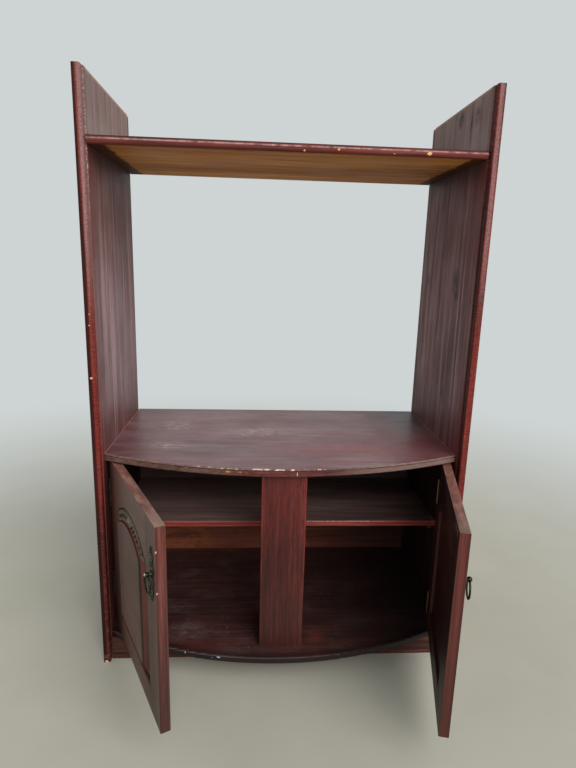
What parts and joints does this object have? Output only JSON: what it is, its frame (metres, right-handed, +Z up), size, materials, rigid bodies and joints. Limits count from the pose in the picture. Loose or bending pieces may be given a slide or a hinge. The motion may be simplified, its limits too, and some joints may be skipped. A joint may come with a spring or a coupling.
{
  "type": "bow-front display cabinet",
  "caption": "Tall stained-wood display cabinet with an open upper bay, a bowed counter and a cupboard behind two framed doors with ring pulls.",
  "frame": {"origin": "centre of the plinth's foot, on the floor", "axes": "+X to the cabinet's right, +Y to its back, +Z up"},
  "size_m": [1, 0.8475, 1.55],
  "materials": {
    "stained_wood": "satin dark red-brown stain",
    "door_wood": "satin dark red-brown stain, dusty",
    "raw_wood": "unfinished",
    "back_board": "thin unstained board",
    "hinge_metal": "dull",
    "steel": "dull",
    "catch_body": "matt",
    "antique_brass": "dark antique"
  },
  "bodies": {
    "carcass": {"side_panel_left": "stained_wood", "side_panel_right": "stained_wood", "top_shelf": "stained_wood", "counter_top": "stained_wood", "bottom_board": "stained_wood", "centre_stile": "stained_wood", "interior_shelf": "stained_wood", "plinth_board": "stained_wood", "back_batten": "raw_wood", "corner_blocks": "raw_wood", "shelf_cleat_left": "raw_wood", "shelf_cleat_right": "raw_wood", "board_dowels": "raw_wood", "back_panel": "back_board", "back_panel_nails": "steel", "left_upper_hinge_frame_leaf": "hinge_metal", "left_lower_hinge_frame_leaf": "hinge_metal", "left_hinge_pins": "hinge_metal", "left_hinge_frame_screws": "steel", "left_catch": "catch_body", "right_upper_hinge_frame_leaf": "hinge_metal", "right_lower_hinge_frame_leaf": "hinge_metal", "right_hinge_pins": "hinge_metal", "right_hinge_frame_screws": "steel", "right_catch": "catch_body"},
    "left_door": {"left_door_hinge_stile": "door_wood", "left_door_lock_stile": "door_wood", "left_door_top_rail": "door_wood", "left_door_bottom_rail": "door_wood", "left_door_panel": "door_wood", "left_door_carved_band": "door_wood", "left_upper_hinge_door_leaf": "hinge_metal", "left_lower_hinge_door_leaf": "hinge_metal", "left_hinge_door_screws": "steel", "left_handle_plate": "antique_brass", "left_handle_pins": "antique_brass", "left_ring_post": "antique_brass", "left_strike_plate": "steel"},
    "left_ring": {"left_ring": "antique_brass"},
    "right_door": {"right_door_hinge_stile": "door_wood", "right_door_lock_stile": "door_wood", "right_door_top_rail": "door_wood", "right_door_bottom_rail": "door_wood", "right_door_panel": "door_wood", "right_door_carved_band": "door_wood", "right_upper_hinge_door_leaf": "hinge_metal", "right_lower_hinge_door_leaf": "hinge_metal", "right_hinge_door_screws": "steel", "right_handle_plate": "antique_brass", "right_handle_pins": "antique_brass", "right_ring_post": "antique_brass", "right_strike_plate": "steel"},
    "right_ring": {"right_ring": "antique_brass"}
  },
  "joints": [
    {"name": "left_door_hinge", "type": "hinge", "parent": "carcass", "child": "left_door", "pos_m": [-0.4746, 0.0345, 0.343], "axis": [0, 0, -1], "range_deg": [-45.34, 27]},
    {"name": "left_ring_swing", "type": "hinge", "parent": "left_door", "child": "left_ring", "pos_m": [-0.30413, -0.33782, 0.474], "axis": [-0.4384, 0.8988, 0], "range_deg": [-7, 95]},
    {"name": "right_door_hinge", "type": "hinge", "parent": "carcass", "child": "right_door", "pos_m": [0.4746, 0.0345, 0.343], "axis": [0, 0, 1], "range_deg": [-57.34, 15]},
    {"name": "right_ring_swing", "type": "hinge", "parent": "right_door", "child": "right_ring", "pos_m": [0.38527, -0.36512, 0.474], "axis": [-0.2419, -0.9703, 0], "range_deg": [-7, 95]}
  ]
}
